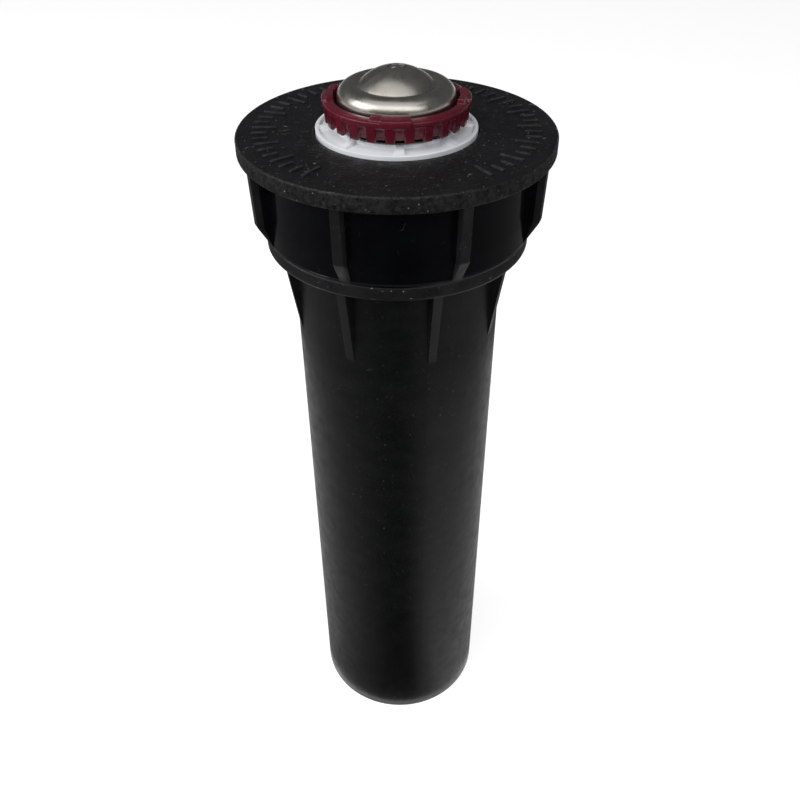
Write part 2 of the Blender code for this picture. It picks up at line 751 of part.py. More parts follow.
# ================================================================ turret
def dome_outline(inset, shoulder_steps, bump_steps):
    """The pressed steel cap's skin, from its rim over the rolled shoulder, down into a shallow valley and up
    the raised centre.  The inset moves it inwards by the sheet's thickness."""
    shoulder = (DOME_RADIUS - DOME_ROLL, DOME_RIM + DOME_ROLL_RISE)
    bump_centre = DOME_APEX - BUMP_RADIUS
    foot = math.degrees(math.acos(BUMP_FOOT / BUMP_RADIUS))
    hole = math.degrees(math.acos(SCREW_HOLE / BUMP_RADIUS))
    points = [(DOME_RADIUS - inset, DOME_RIM)]
    points += arc(shoulder, DOME_ROLL - inset, 0.0, DOME_ROLL_END, shoulder_steps)
    points += arc((0.0, bump_centre), BUMP_RADIUS - inset, foot, hole, bump_steps)
    return points


def make_turret(finish):
    """The spinning head: grooved deflector, viscous damper parts and the steel cap."""
    rim = DOME_RADIUS - DOME_SHEET - 0.45 * MM
    neck = CHAMBER_RADIUS + 0.6 * MM
    back = HEIGHT + 6.7 * MM
    hub_bottom = HEIGHT + 2.6 * MM
    seal_pocket = 2.9 * MM
    seal_floor = HEIGHT + 3.8 * MM
    deflector = turned(
        "deflector",
        [
            (SHAFT_HOLE, hub_bottom),
            (2.6 * MM, hub_bottom),
            (2.9 * MM, hub_bottom + 0.2 * MM),
            (rim, HEIGHT + 4.6 * MM),
            (rim, HEIGHT + 5.9 * MM),
            (rim - 0.9 * MM, back),
            (neck, back),
            (neck, CHAMBER_TOP),
            (CHAMBER_RADIUS, CHAMBER_TOP),
            (CHAMBER_RADIUS, CHAMBER_FLOOR),
            (seal_pocket, CHAMBER_FLOOR),
            (seal_pocket, seal_floor),
            (SHAFT_HOLE, seal_floor),
        ],
        finish["black_abs"],
    )
    groove_start, groove_end = 4.6 * MM, rim + 1.0 * MM
    groove_low = HEIGHT + 2.0 * MM
    groove = [
        (groove_start, groove_low),
        (groove_end, groove_low),
        (groove_end, HEIGHT + 5.5 * MM),
        (groove_start, HEIGHT + 3.75 * MM),
    ]
    cut(deflector, fins("stream_grooves", groove, 1.1 * MM, STREAM_COUNT))

    turned(
        "shaft_seal",
        [
            (SHAFT_HOLE, seal_floor + GAP),
            (seal_pocket - GAP, seal_floor + GAP),
            (seal_pocket - GAP, CHAMBER_FLOOR),
            (SHAFT_HOLE, CHAMBER_FLOOR),
        ],
        finish["black_rubber"],
        SIDES_SMALL,
    )
    plug = CHAMBER_RADIUS - GAP
    plug_bottom = CHAMBER_TOP - 0.05 * MM
    lid_bottom, lid_top = CHAMBER_TOP + GAP, CHAMBER_TOP + 0.55 * MM
    turned(
        "damper_cover",
        [
            (SHAFT_HOLE, plug_bottom),
            (plug, plug_bottom),
            (plug, lid_bottom),
            (plug + 0.5 * MM, lid_bottom),
            (plug + 0.2 * MM, lid_top),
            (SHAFT_HOLE, lid_top),
        ],
        finish["grey_acetal"],
        SIDES_SMALL,
    )
    skin = dome_outline(0.0, 6, 4) + dome_outline(DOME_SHEET, 4, 3)[::-1]
    turned("steel_cap", skin, finish["stainless"])


def main():
    clear_scene()
    finish = make_materials()
    make_casing(finish)
    make_cap(finish)
    make_seal_parts(finish)
    make_riser(finish)
    make_nozzle_base(finish)
    make_arc_adjuster(finish)
    make_shaft_parts(finish)
    make_turret(finish)


main()
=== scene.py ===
"""Looks for the pop-up sprinkler: fine meshes, procedural materials, a pale studio and the camera.

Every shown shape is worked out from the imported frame's boxes.  A turned piece is lofted from columns,
one outline of (radius, height) points for each azimuth, so ribs, spokes and tabs belong to one closed
surface.  Lengths are metres and angles are radians unless a name says otherwise.
"""

import json
import math
import bmesh
import bpy
from mathutils import Matrix, Vector


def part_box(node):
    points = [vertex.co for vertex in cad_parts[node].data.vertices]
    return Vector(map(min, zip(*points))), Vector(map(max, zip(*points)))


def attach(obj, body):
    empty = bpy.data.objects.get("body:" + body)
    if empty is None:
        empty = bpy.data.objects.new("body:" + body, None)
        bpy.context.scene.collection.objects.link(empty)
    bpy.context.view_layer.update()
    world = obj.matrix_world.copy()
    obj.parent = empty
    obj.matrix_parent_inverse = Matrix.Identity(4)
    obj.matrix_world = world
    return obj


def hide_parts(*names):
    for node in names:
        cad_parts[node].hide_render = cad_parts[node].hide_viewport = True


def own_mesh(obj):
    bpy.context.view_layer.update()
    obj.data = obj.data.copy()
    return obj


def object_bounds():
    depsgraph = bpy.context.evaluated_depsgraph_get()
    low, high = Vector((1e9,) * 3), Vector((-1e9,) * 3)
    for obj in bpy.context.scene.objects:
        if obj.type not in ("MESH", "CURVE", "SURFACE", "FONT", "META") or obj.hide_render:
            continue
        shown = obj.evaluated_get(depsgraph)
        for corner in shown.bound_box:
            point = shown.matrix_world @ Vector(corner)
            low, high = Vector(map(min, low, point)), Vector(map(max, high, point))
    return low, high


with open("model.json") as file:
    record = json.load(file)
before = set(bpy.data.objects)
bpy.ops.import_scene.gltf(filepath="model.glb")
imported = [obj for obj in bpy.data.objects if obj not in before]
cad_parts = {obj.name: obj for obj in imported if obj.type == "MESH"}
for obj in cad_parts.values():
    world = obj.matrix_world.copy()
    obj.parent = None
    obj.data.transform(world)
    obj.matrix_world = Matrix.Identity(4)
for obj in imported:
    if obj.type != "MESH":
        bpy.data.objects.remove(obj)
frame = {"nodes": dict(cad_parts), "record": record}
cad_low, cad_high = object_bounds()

MM = 0.001
COLUMNS = 144               # columns round a plain turned piece
FILLET_STEPS = 3
FLANK = 0.25 * MM           # width over which a rib's flank rises
SHARP_FROM = math.radians(35.0)     # edges that turn by more than this stay sharp
PALE = (0.30, 0.30, 0.29)   # dust and scuffs on the plastics
NODES = frame["nodes"]

# ---------------------------------------------------------------- heights and radii taken from the frame
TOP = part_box("body_cap")[1].z
CAP_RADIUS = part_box("body_cap")[1].x
SKIRT_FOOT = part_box("body_cap")[0].z
UNDERSIDE = TOP - 3.0 * MM
FLANGE_TOP = SKIRT_FOOT - 0.3 * MM
FLANGE_BOTTOM = FLANGE_TOP - 2.8 * MM
FLANGE_RADIUS = 24.7 * MM
SKIRT_RADIUS = 24.9 * MM
TAB_HEIGHT = 0.7 * MM
RING_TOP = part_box("arc_ring")[1].z - TAB_HEIGHT
RING_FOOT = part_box("arc_ring")[0].z
RING_RADIUS = 12.8 * MM
DOME_RIM, DOME_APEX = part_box("steel_cap")[0].z, TOP + 10.71 * MM
DOME_RADIUS = 10.4 * MM
RISER_FOOT, RISER_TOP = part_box("riser_stem")[0].z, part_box("riser_stem")[1].z
BASE_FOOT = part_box("nozzle_base")[0].z

RIB_COUNT = 8               # grip ribs, gussets, guide ribs and spokes
RING_RIB_COUNT = 24
TAB_COUNT = 4
CAP_RIB_PHASE = math.radians(24.0)
GUSSET_PHASE = math.radians(18.5)
TAB_PHASE = math.radians(-5.0)
SPOKE_PHASE = math.radians(2.5)


# ================================================================ mesh building
def millimetres(*points):
    return [(radius * MM, height * MM) for radius, height in points]


def rounded(outline, radius):
    """The closed outline with each corner turned into a short arc.  Every corner gives the same number
    of points, so two outlines with equal corners can be blended point by point."""
    result = []
    count = len(outline)
    for index, corner in enumerate(outline):
        here = Vector(corner)
        before = Vector(outline[index - 1]) - here
        after = Vector(outline[(index + 1) % count]) - here
        reach = min(radius, before.length * 0.4, after.length * 0.4)
        start = here + before.normalized() * reach
        end = here + after.normalized() * reach
        for step in range(FILLET_STEPS + 1):
            t = step / FILLET_STEPS
            result.append(start * (1 - t) ** 2 + here * (2 * t * (1 - t)) + end * t**2)
    return result


def ring_of(count, phase):
    return [phase + math.tau * index / count for index in range(count)]


def lofted(name, base, features=(), columns=COLUMNS, slot_of=None, flank=FLANK):
    """A closed turned piece.  Each feature is (azimuths, half width, reference radius, outline): near one
    of its azimuths the base outline gives way to the feature's, over that width of flank.  slot_of gives
    a face its material slot from its place in the outline and its share of the first feature, from 0 to 1
    across the flank."""
    marks = {round(math.tau * index / columns, 6) for index in range(columns)}
    for azimuths, half, reference, _ in features:
        for azimuth in azimuths:
            near = {
                mark for mark in marks
                if abs(math.remainder(mark - azimuth, math.tau)) * reference < half + 1.5 * flank
                and abs(math.remainder(mark - azimuth, math.tau)) * reference > half - 1.5 * flank
            }
            marks -= near
            for share in (-0.5, -0.25, 0.0, 0.25, 0.5):
                offset = (half + share * flank) / reference
                marks.add(round((azimuth + offset) % math.tau, 6))
                marks.add(round((azimuth - offset) % math.tau, 6))
    bm = bmesh.new()
    rows = []
    standing = []
    for mark in sorted(marks):
        points = [Vector(point) for point in base]
        shares = [0.0]
        for azimuths, half, reference, outline in features:
            gap = min(abs(math.remainder(mark - azimuth, math.tau)) for azimuth in azimuths) * reference
            share = min(max((half + flank / 2 - gap) / flank, 0.0), 1.0)
            share = share * share * (3 - 2 * share)
            shares.append(share)
            for index, target in enumerate(outline):
                points[index] = points[index] + (Vector(target) - Vector(base[index])) * share
        turn = Matrix.Rotation(mark, 3, "Z")
        rows.append([bm.verts.new(turn @ Vector((p.x, 0.0, p.y))) for p in points])
        standing.append(shares[:2][-1])
    size = len(base)
    for column, here in enumerate(rows):
        follower = (column + 1) % len(rows)
        there = rows[follower]
        share = min(standing[column], standing[follower])
        for index in range(size):
            after = (index + 1) % size
            face = bm.faces.new((here[index], there[index], there[after], here[after]))
            if slot_of:
                face.material_index = slot_of(index, share)
    bmesh.ops.remove_doubles(bm, verts=bm.verts, dist=1e-8)
    bmesh.ops.dissolve_degenerate(bm, edges=bm.edges, dist=1e-8)
    bmesh.ops.recalc_face_normals(bm, faces=bm.faces)
    return shown(name, bm)


def shown(name, bm):
    mesh = bpy.data.meshes.new(name)
    bm.to_mesh(mesh)
    bm.free()
    mesh.shade_smooth()
    mesh.set_sharp_from_angle(angle=SHARP_FROM)
    obj = bpy.data.objects.new(name, mesh)
    bpy.context.scene.collection.objects.link(obj)
    return obj


def dress(obj, body, slot, materials, *nodes):
    for material in materials:
        obj.data.materials.append(material)
    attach(obj, body)
    if nodes:
        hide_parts(*nodes)
    return obj


def arc(centre, radius, start, end, steps):
    """Points of an arc in the (radius, height) plane, angles in degrees from the outward direction."""
    angles = [math.radians(start + (end - start) * step / steps) for step in range(steps + 1)]
    return [(centre[0] + radius * math.cos(a), centre[1] + radius * math.sin(a)) for a in angles]


# ================================================================ materials
class Surface:
    """A Principled material with helpers that wire object-space noise into it."""

    def __init__(self, name, colour, roughness, metallic=0.0, specular=0.5):
        self.material = bpy.data.materials.new(name)
        self.material.use_nodes = True
        self.tree = self.material.node_tree
        self.shader = self.tree.nodes["Principled BSDF"]
        self.shader.inputs["Base Color"].default_value = (*colour, 1.0)
        self.shader.inputs["Roughness"].default_value = roughness
        self.shader.inputs["Metallic"].default_value = metallic
        self.shader.inputs["Specular IOR Level"].default_value = specular
        self.place = self.node("ShaderNodeTexCoord").outputs["Object"]

    def node(self, kind, **values):
        made = self.tree.nodes.new(kind)
        for key, value in values.items():
            setattr(made, key, value)
        return made

    def link(self, source, target):
        self.tree.links.new(source, target)

    def stretched(self, scale):
        mapping = self.node("ShaderNodeMapping")
        mapping.inputs["Scale"].default_value = scale
        self.link(self.place, mapping.inputs["Vector"])
        return mapping.outputs["Vector"]

    def noise(self, size, detail=4.0, stretch=(1.0, 1.0, 1.0)):
        """Noise from 0 to 1 whose features are about that size in metres."""
        made = self.node("ShaderNodeTexNoise")
        made.inputs["Scale"].default_value = 1.0 / size
        made.inputs["Detail"].default_value = detail
        self.link(self.stretched(stretch), made.inputs["Vector"])
        return made.outputs["Fac"]

    def remap(self, value, low, high, to_low, to_high):
        made = self.node("ShaderNodeMapRange")
        made.inputs["From Min"].default_value = low
        made.inputs["From Max"].default_value = high
        made.inputs["To Min"].default_value = to_low
        made.inputs["To Max"].default_value = to_high
        self.link(value, made.inputs["Value"])
        return made.outputs["Result"]

    def math(self, operation, value, number):
        """A sum on a socket; the number may be a socket too."""
        made = self.node("ShaderNodeMath", operation=operation)
        self.link(value, made.inputs[0])
        if isinstance(number, float):
            made.inputs[1].default_value = number
        else:
            self.link(number, made.inputs[1])
        return made.outputs["Value"]

    def mix(self, amount, colour_a, colour_b):
        """Colour a turning to colour b; either may be a socket."""
        made = self.node("ShaderNodeMix", data_type="RGBA")
        self.link(amount, made.inputs["Factor"])
        for key, colour in ((6, colour_a), (7, colour_b)):
            if isinstance(colour, tuple):
                made.inputs[key].default_value = (*colour, 1.0)
            else:
                self.link(colour, made.inputs[key])
        return made.outputs[2]

    def colour(self, socket):
        self.link(socket, self.shader.inputs["Base Color"])

    def roughness(self, socket):
        self.link(socket, self.shader.inputs["Roughness"])

    def bump(self, height, depth):
        made = self.node("ShaderNodeBump")
        made.inputs["Distance"].default_value = depth
        made.inputs["Strength"].default_value = 1.0
        self.link(height, made.inputs["Height"])
        self.link(made.outputs["Normal"], self.shader.inputs["Normal"])


def moulded(
    name, dark, light, rough, grain, depth,
    specular=0.5, specks=0.0, scuffs=0.0, blotch=6.0 * MM, stretch=(1.0, 1.0, 1.0),
):
    """Moulded plastic: mottled colour, uneven gloss and a grained skin.  It may carry pale specks of
    dust and thin, pale, wandering scuffs."""
    surface = Surface(name, dark, sum(rough) / 2, specular=specular)
    mottle = surface.noise(blotch, 6.0, stretch)
    tint = surface.mix(surface.remap(mottle, 0.32, 0.68, 0.0, 1.0), dark, light)
    if specks:
        dust = surface.noise(0.50 * MM, 1.0)
        tint = surface.mix(surface.remap(dust, 0.72, 0.77, 0.0, specks), tint, PALE)
    if scuffs:
        away = surface.math("SUBTRACT", surface.noise(4.0 * MM, 1.5), 0.5)
        line = surface.remap(surface.math("ABSOLUTE", away, 0.0), 0.0, 0.006, 1.0, 0.0)
        patch = surface.remap(surface.noise(1.7 * MM, 2.0), 0.60, 0.68, 0.0, scuffs)
        tint = surface.mix(surface.math("MULTIPLY", line, patch), tint, PALE)
    surface.colour(tint)
    surface.roughness(surface.remap(surface.noise(2.5 * MM), 0.3, 0.7, *rough))
    surface.bump(surface.noise(grain, 3.0, stretch), depth)
    return surface


def steel(name, colour, rough, depth):
    """Satin stainless: faint smears, uneven polish and the fine rings left by spinning and brushing."""
    surface = Surface(name, colour, sum(rough) / 2, metallic=1.0)
    smear = surface.remap(surface.noise(7.0 * MM, 3.0), 0.3, 0.7, 0.0, 1.0)
    darker = tuple(channel * 0.86 for channel in colour)
    freckles = surface.remap(surface.noise(0.9 * MM, 4.0), 0.55, 0.75, 0.0, 0.5)
    surface.colour(surface.mix(freckles, surface.mix(smear, colour, darker), darker))
    surface.roughness(surface.remap(surface.noise(1.6 * MM, 4.0), 0.3, 0.7, *rough))
    surface.bump(surface.noise(0.5 * MM, 2.0, (0.12, 0.12, 1.0)), depth)
    return surface


def make_finishes():
    return {
        "disc": moulded(
            "cap_disc_black", (0.0025, 0.0025, 0.003), (0.0075, 0.0075, 0.008), (0.34, 0.56),
            0.55 * MM, 0.22 * MM, specular=0.30, specks=0.7, scuffs=0.8,
        ).material,
        "side": moulded(
            "cap_side_black", (0.001, 0.001, 0.001), (0.015, 0.015, 0.015), (0.38, 0.66),
            0.50 * MM, 0.26 * MM, specular=0.26, specks=0.45, blotch=0.8 * MM, stretch=(1.0, 1.0, 0.8),
        ).material,
        # Raised strokes: the disc's own black, painted lighter as a painted highlight where the strokes
        # catch the light.
        "mark": moulded(
            "cap_mark_black_painted_highlight", (0.010, 0.010, 0.011), (0.032, 0.032, 0.034), (0.24, 0.40),
            0.40 * MM, 0.06 * MM, specular=0.5, blotch=1.5 * MM,
        ).material,
        "skirt": moulded(
            "cap_skirt_black", (0.0010, 0.0011, 0.0014), (0.0018, 0.0022, 0.0030), (0.06, 0.14),
            1.6 * MM, 0.006 * MM, specular=0.45, scuffs=0.06,
        ).material,
        # Grip ribs: the skirt's own black, painted lighter grey on their faces as a painted highlight
        # where they catch the light.
        "rib": moulded(
            "cap_rib_black_painted_highlight", (0.004, 0.0045, 0.0045), (0.009, 0.0095, 0.0095), (0.28, 0.42),
            0.60 * MM, 0.020 * MM, specular=0.4, specks=0.15,
        ).material,
        "collar": moulded(
            "casing_collar_black", (0.004, 0.0045, 0.005), (0.009, 0.0095, 0.010), (0.30, 0.44),
            0.35 * MM, 0.030 * MM, specular=0.35, specks=0.5, blotch=3.0 * MM,
        ).material,
        "casing": moulded(
            "casing_black", (0.0025, 0.003, 0.003), (0.005, 0.0055, 0.0055), (0.28, 0.40),
            0.45 * MM, 0.018 * MM, specular=0.30, specks=0.10, stretch=(1.0, 1.0, 1.7),
        ).material,
        # Gussets: the tube's own black, painted lighter on their outer faces as a painted highlight where
        # they catch the light.
        "gusset": moulded(
            "casing_gusset_black_painted_highlight", (0.004, 0.0045, 0.0045), (0.008, 0.0085, 0.0085), (0.34, 0.46),
            0.50 * MM, 0.020 * MM, specular=0.35,
        ).material,
        "riser": moulded(
            "riser_black", (0.006, 0.006, 0.0065), (0.012, 0.012, 0.0125), (0.28, 0.40),
            0.50 * MM, 0.012 * MM, specular=0.35,
        ).material,
        "white": moulded(
            "retainer_white", (0.84, 0.87, 0.92), (0.91, 0.93, 0.95), (0.35, 0.50),
            0.60 * MM, 0.012 * MM,
        ).material,
        "red": moulded(
            "arc_ring_red", (0.080, 0.0035, 0.012), (0.125, 0.006, 0.018), (0.16, 0.30),
            0.50 * MM, 0.020 * MM, specks=0.15,
        ).material,
        "grey": moulded(
            "acetal_grey", (0.20, 0.21, 0.22), (0.28, 0.29, 0.30), (0.38, 0.52),
            0.50 * MM, 0.010 * MM,
        ).material,
        "rubber": moulded(
            "seal_rubber", (0.008, 0.008, 0.008), (0.018, 0.018, 0.018), (0.70, 0.88),
            0.30 * MM, 0.020 * MM,
        ).material,
        "steel": steel("dome_stainless", (0.50, 0.475, 0.43), (0.25, 0.37), 0.0045 * MM).material,
        "wire": steel("spring_stainless", (0.62, 0.61, 0.59), (0.20, 0.32), 0.001 * MM).material,
    }


# ================================================================ pieces
def make_cap(finish):
    top, foot, under = TOP / MM, SKIRT_FOOT / MM - 0.24, UNDERSIDE / MM
    rim, skirt, skirt_bore = CAP_RADIUS / MM, SKIRT_RADIUS / MM, 22.4
    pocket, pocket_floor = 14.7, top - 1.2
    bore, hub, hub_foot = 12.9, 14.5, top - 4.8
    grip_bend = top - 13.4

    def outline(upper, middle, lower):
        """The cap with its skirt's outer radius at three heights, which a grip rib pushes out."""
        return rounded(
            millimetres(
                (skirt_bore, foot), (skirt - 0.1, foot), (skirt, foot + 0.45), (lower, foot + 0.65),
                (middle, grip_bend), (upper, under), (rim - 0.25, under), (rim, under + 0.3),
                (rim, top - 0.3), (rim - 0.3, top), (pocket, top), (pocket, pocket_floor),
                (bore, pocket_floor), (bore, hub_foot), (hub, hub_foot), (hub, under),
                (skirt_bore, under),
            ),
            0.22 * MM,
        )

    def slot_of(index, share):
        """Disc 0, skirt 1, grip rib 2, disc's side 3, by the outline's corners in their order."""
        corner = (index + 1) // (FILLET_STEPS + 1)
        if corner < 6:
            # A grip rib's faces take the lighter rib finish, a painted highlight.
            return 2 if share > 0.4 else 1
        return 3 if corner < 9 else 0

    plain = outline(skirt + 0.3, skirt + 0.14, skirt - 0.12)
    grip = outline(27.7, 27.3, skirt + 0.1)
    ribs = (ring_of(RIB_COUNT, CAP_RIB_PHASE), 1.15 * MM, 26.4 * MM, grip)
    cap = lofted("cap", plain, [ribs], slot_of=slot_of, flank=0.6 * MM)
    looks = (finish["disc"], finish["skirt"], finish["rib"], finish["side"])
    dress(cap, "casing", "black_gloss", looks, "body_cap")


def make_cap_marks(finish):
    """A plain scale of long and short raised strokes in two arcs on the cap's face, for grip."""
    long, short, width, thickness = 4.4 * MM, 2.8 * MM, 0.55 * MM, 0.5 * MM
    outer_end, half_count, spacing = 25.6 * MM, 9, 6.0      # degrees between strokes
    bm = bmesh.new()
    for middle in (math.radians(0.0), math.radians(180.0)):
        for index in range(-half_count, half_count + 1):
            azimuth = middle + math.radians(spacing * index)
            length = long if index % 3 == 0 else short
            stroke = bmesh.ops.create_cube(bm, size=1.0)["verts"]
            lift = Matrix.Translation((outer_end - length / 2, 0.0, TOP + 0.05 * MM))
            size = Matrix.Diagonal((length, width, thickness, 1.0))
            bmesh.ops.transform(bm, matrix=Matrix.Rotation(azimuth, 4, "Z") @ lift @ size, verts=stroke)
    bmesh.ops.bevel(
        bm, geom=list(bm.edges), offset=0.12 * MM, segments=2, affect="EDGES", profile=0.5,
    )
    # The strokes take the lighter mark finish, a painted highlight.
    dress(shown("cap_marks", bm), "casing", "black_gloss", (finish["mark"],))


def make_casing(finish):
    flange_top, flange_bottom, flange = FLANGE_TOP / MM, FLANGE_BOTTOM / MM, FLANGE_RADIUS / MM
    neck, neck_bore, neck_top = 22.0, 19.8, TOP / MM - 6.0
    foot, tip, tip_height, tube_top, tube_bore = 19.8, 20.02, TOP / MM - 37.8, 20.1, 17.6
    boss, boss_top, inlet = 12.4, 18.0, 9.4
    floor_bottom, floor_top = 5.0, 7.5

    def outline(gusset=tube_top, bore=tube_bore, web=floor_bottom):
        """The casing, whose gussets stand out under the flange, with guide ribs in the bore and webs
        under the floor."""
        return rounded(
            millimetres(
                (foot, 0.0), (tip, tip_height), (gusset, flange_bottom - 0.02),
                (flange - 0.5, flange_bottom), (flange, flange_bottom + 0.5), (flange, flange_top),
                (neck, flange_top), (neck, neck_top), (neck_bore, neck_top),
                (neck_bore, flange_top + 1.2), (bore, flange_top - 0.8), (bore, boss_top + 0.9),
                (tube_bore, boss_top), (tube_bore, floor_top), (boss, floor_top), (boss, boss_top),
                (inlet, boss_top), (inlet, 1.2), (inlet + 1.2, 0.0), (boss, 0.0), (boss, web),
                (tube_bore, web), (tube_bore, 0.0),
            ),
            0.25 * MM,
        )

    def slot_of(index, share):
        """Tube 0, flange and neck 1, gusset 2, by the outline's corners in their order."""
        corner = (index + 1) // (FILLET_STEPS + 1)
        # A gusset's outer face takes the lighter gusset finish, a painted highlight.
        if corner == 2:
            return 2 if share > 0.9 else 0
        return 1 if 3 <= corner < 8 else 0

    gussets = ring_of(RIB_COUNT, GUSSET_PHASE)
    casing = lofted(
        "casing",
        outline(),
        [
            (gussets, 0.95 * MM, 21.0 * MM, outline(gusset=22.6, web=0.8)),
            (ring_of(RIB_COUNT, 0.0), 0.8 * MM, 17.0 * MM, outline(bore=16.4)),
        ],
        slot_of=slot_of,
    )
    looks = (finish["casing"], finish["collar"], finish["gusset"])
    dress(casing, "casing", "black_abs", looks, "body_casing")


def make_retainer(finish):
    top = TOP / MM
    lip, collar = top + 0.55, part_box("seal_retainer")[1].z / MM
    bore, body, rim = 9.85, 12.6, 14.4
    foot, rim_underside = top - 4.8, top - 0.9

    def outline(outer_floor, inner_floor):
        """The ring, whose well between lip and collar has a sloping floor."""
        return rounded(
            millimetres(
                (bore, foot), (body, foot), (body, rim_underside), (rim, rim_underside), (rim, lip),
                (13.7, lip), (13.5, outer_floor), (10.9, inner_floor), (10.75, collar), (bore, collar),
            ),
            0.12 * MM,
        )

    spokes = (
        ring_of(RIB_COUNT, SPOKE_PHASE), 0.8 * MM, 12.5 * MM, outline(lip - 0.05, collar - 0.05)
    )
    ring = lofted("white_retainer", outline(top + 0.1, top + 0.4), [spokes])
    dress(ring, "casing", "white_plastic", (finish["white"],), "seal_retainer")


def make_riser(finish):
    foot, flange_bottom, flange_top = RISER_FOOT / MM, RISER_FOOT / MM + 7.7, RISER_FOOT / MM + 7.7 + 2.1
    top, shoulder = RISER_TOP / MM, TOP / MM - 11.0
    tube, bore, foot_ring, flange, thread = 9.5, 7.4, 10.4, 13.2, 8.6
    outline = rounded(
        millimetres(
            (bore, foot), (foot_ring, foot), (foot_ring, foot + 1.6), (tube, foot + 1.6),
            (tube, flange_bottom), (flange, flange_bottom), (flange, flange_top), (tube, flange_top),
            (tube, shoulder), (thread, shoulder), (thread, top), (bore, top),
        ),
        0.2 * MM,
    )
    dress(lofted("riser", outline), "riser", "black_abs", (finish["riser"],), "riser_stem")

    top, foot = TOP / MM, BASE_FOOT / MM
    sleeve_bore, brim, brim_top = 8.95, 10.4, top + 2.4
    cup, web_bore, web_top, web_bottom = 8.2, 6.4, top - 0.6, top - 2.0
    outline = rounded(
        millimetres(
            (sleeve_bore, foot), (tube, foot), (tube, top + 1.5), (brim, top + 1.7), (brim, brim_top),
            (cup, brim_top), (cup, web_top), (web_bore, web_top), (web_bore, web_bottom),
            (sleeve_bore, web_bottom),
        ),
        0.15 * MM,
    )
    dress(lofted("nozzle_body", outline), "riser", "black_abs", (finish["riser"],), "nozzle_base")


def make_arc_ring(finish):
    foot, top = RING_FOOT / MM, RING_TOP / MM
    floor_bottom, wall, crown = top - 2.9, 12.1, TAB_HEIGHT / MM
    floor_top = floor_bottom + 0.7
    outer, bore, floor_bore = RING_RADIUS / MM, 10.9, 6.4

    def outline(
        mid=wall + 0.3, mid_height=top - 1.4, low=wall - 0.15, low_height=top - 3.45,
        rise=0.0, shelf=0.0, proud=0.0,
    ):
        """The ring, which a rib pushes out below its rim, a tab lifts, and a tab's block pushes out."""
        return rounded(
            millimetres(
                (floor_bore, floor_bottom), (11.6, floor_bottom), (low - 0.35, low_height),
                (low, low_height + 0.15), (mid, mid_height), (outer - 0.02 + proud, top - 1.05),
                (outer + proud, top - 0.3 + shelf), (outer - 0.5, top - 0.12 + shelf),
                (outer - 0.6, top + rise), (bore + 0.15, top + rise), (bore, top - 0.3),
                (bore, floor_top), (floor_bore, floor_top),
            ),
            0.14 * MM,
        )

    ribs = (
        ring_of(RING_RIB_COUNT, TAB_PHASE), 0.80 * MM, 12.6 * MM,
        outline(mid=outer - 0.05, mid_height=top - 1.25, low=outer - 0.2, low_height=foot),
    )
    tabs = (ring_of(TAB_COUNT, TAB_PHASE), 3.5 * MM, 12.4 * MM, outline(rise=crown))
    blocks = (
        ring_of(TAB_COUNT, TAB_PHASE + math.radians(4.5)), 2.5 * MM, 12.4 * MM,
        outline(shelf=0.40, proud=0.22),
    )
    ring = lofted("red_arc_ring", outline(), [ribs, tabs, blocks])
    dress(ring, "arc_adjuster", "red_plastic", (finish["red"],), "arc_ring")


def make_dome(finish):
    """The pressed dome: a rolled shoulder that turns down into a valley, and a round centre."""
    sheet, hole, roll = 0.45 * MM, 1.55 * MM, 2.4 * MM
    roll_end = 117.0
    shoulder = (DOME_RADIUS - roll, DOME_RIM + 0.7 * MM)
    ball, ball_foot = 9.1 * MM, 6.8 * MM
    bump = (0.0, DOME_APEX - ball)
    foot = math.degrees(math.acos(ball_foot / ball))
    top = math.degrees(math.acos(hole / ball))

    def skin(inset):
        points = [(DOME_RADIUS - inset, DOME_RIM)]
        points += arc(shoulder, roll - inset, 0.0, roll_end, 20)
        points += arc(bump, ball - inset, foot + 0.6, top, 18)
        return points

    dome = lofted("dome", skin(0.0) + skin(sheet)[::-1])
    dress(dome, "turret", "stainless", (finish["steel"],), "steel_cap")


def make_shaft(finish):
    """The turret's shaft with its adjusting screw head flush in the dome, and a fine driver slot."""
    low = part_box("turret_shaft")[0].z / MM
    head_foot, head_top = TOP / MM + 9.7, TOP / MM + 10.5
    stem, head, axis = 1.2, 1.4, 0.01

    def outline(slot_floor):
        return rounded(
            millimetres(
                (axis, low), (stem - 0.2, low), (stem, low + 0.2), (stem, head_foot),
                (head, head_foot + 0.1), (head, head_top), (head - 0.5, slot_floor), (axis, slot_floor),
            ),
            0.06 * MM,
        )

    slot = (ring_of(2, math.radians(35.0)), 0.15 * MM, 1.0 * MM, outline(head_top - 0.2))
    shaft = lofted("adjusting_shaft", outline(head_top), [slot], columns=48)
    dress(shaft, "shaft", "spring_steel", (finish["steel"],), "turret_shaft")


def make_coil(name, node, turns, wire, body, finish):
    """A closed-end compression spring in a node's place."""
    low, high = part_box(node)
    radius = (high.x - low.x) / 2 - wire / 2
    around, along = 10, 36      # points round the wire and sections in a turn
    bottom, reach = low.z + wire / 2, high.z - low.z - wire
    closed = wire * 1.05
    open_pitch = (reach - 2 * closed) / (turns - 2)
    bm = bmesh.new()
    rings = []
    for index in range(turns * along + 1):
        turn = index / along
        height = bottom + closed * (min(turn, 1.0) + max(turn - turns + 1, 0.0))
        height += open_pitch * min(max(turn - 1.0, 0.0), turns - 2.0)
        out = Vector((math.cos(math.tau * turn), math.sin(math.tau * turn), 0.0))
        section = []
        for step in range(around):
            angle = math.tau * step / around
            place = out * (radius + wire / 2 * math.cos(angle))
            place.z = height + wire / 2 * math.sin(angle)
            section.append(bm.verts.new(place))
        rings.append(section)
    for here, there in zip(rings, rings[1:]):
        for step in range(around):
            after = (step + 1) % around
            bm.faces.new((here[step], there[step], there[after], here[after]))
    bm.faces.new(rings[0])
    bm.faces.new(rings[-1][::-1])
    bmesh.ops.recalc_face_normals(bm, faces=bm.faces)
    spring = dress(shown(name, bm), body, "spring_steel", (finish["wire"],), node)
    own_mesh(spring)


